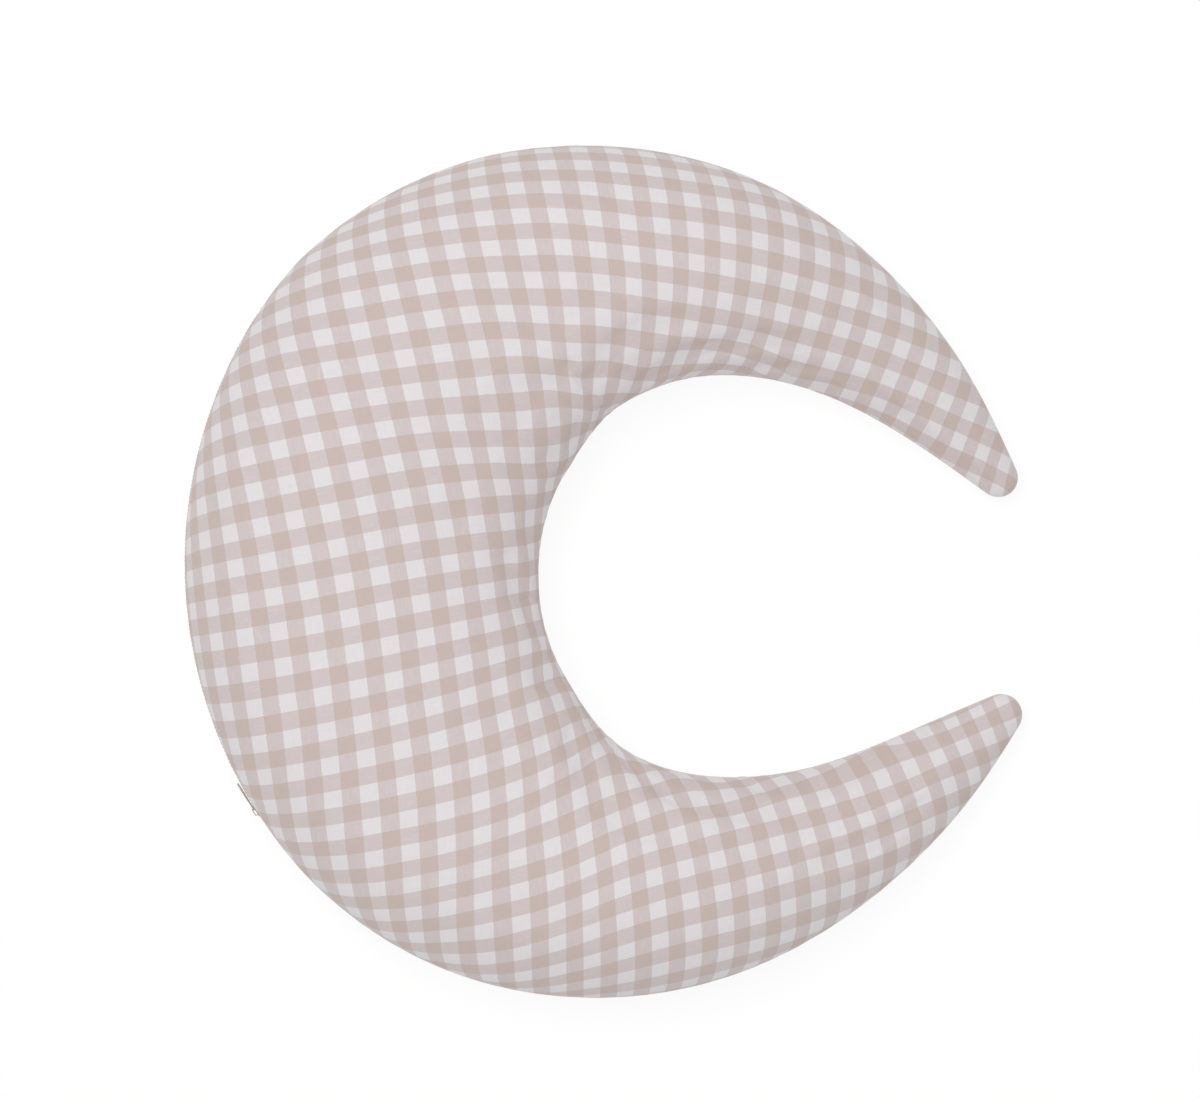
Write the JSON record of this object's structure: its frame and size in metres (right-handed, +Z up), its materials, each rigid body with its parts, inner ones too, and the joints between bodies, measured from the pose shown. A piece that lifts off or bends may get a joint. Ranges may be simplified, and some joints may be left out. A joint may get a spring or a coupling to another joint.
{
  "type": "nursing pillow",
  "caption": "Crescent nursing pillow: a zipped two-panel gingham cover over a sewn inner case packed with fibre.",
  "frame": {"origin": "middle of the footprint's bounding box, on the floor the pillow lies on", "axes": "+Z up, +X out through the opening between the horns, +Y towards the slightly shorter upper horn"},
  "size_m": [0.5955, 0.6002, 0.1586],
  "materials": {
    "gingham_cotton": "plain-weave cotton in a two-tone check",
    "white_liner": "plain white liner cloth",
    "hollow_fibre": "loose white polyester fibre",
    "sewing_thread": "spun polyester thread",
    "zip_tape": "woven zip tape",
    "zip_coil": "nylon monofilament coil",
    "painted_zinc": "paint on die-cast zinc",
    "satin_label": "white satin ribbon, left blank"
  },
  "bodies": {
    "pillow": {"cover_top_panel": "gingham_cotton", "cover_bottom_panel": "gingham_cotton", "cover_seam_thread_upper": "sewing_thread", "cover_seam_thread_lower": "sewing_thread", "zip_tape_upper": "zip_tape", "zip_tape_lower": "zip_tape", "zip_coil_upper": "zip_coil", "zip_coil_lower": "zip_coil", "zip_stitching_upper": "sewing_thread", "zip_stitching_lower": "sewing_thread", "zip_top_stop_upper": "painted_zinc", "zip_top_stop_lower": "painted_zinc", "zip_bottom_stop": "painted_zinc", "care_label": "satin_label", "inner_case_top_panel": "white_liner", "inner_case_bottom_panel": "white_liner", "inner_case_seam_thread": "sewing_thread", "inner_case_closing_thread": "sewing_thread", "fibre_filling": "hollow_fibre"},
    "slider": {"zip_slider": "painted_zinc"},
    "pull": {"zip_pull": "painted_zinc"}
  },
  "joints": [
    {"name": "zip_slide", "type": "hinge", "parent": "pillow", "child": "slider", "pos_m": [0.03026, 0.00557, 0.074], "axis": [0, 0, 1], "range_deg": [-64, 0]},
    {"name": "pull_swing", "type": "hinge", "parent": "slider", "child": "pull", "pos_m": [-0.24921, -0.16862, 0.074], "axis": [0, 0, 1], "range_deg": [0, 100]}
  ]
}
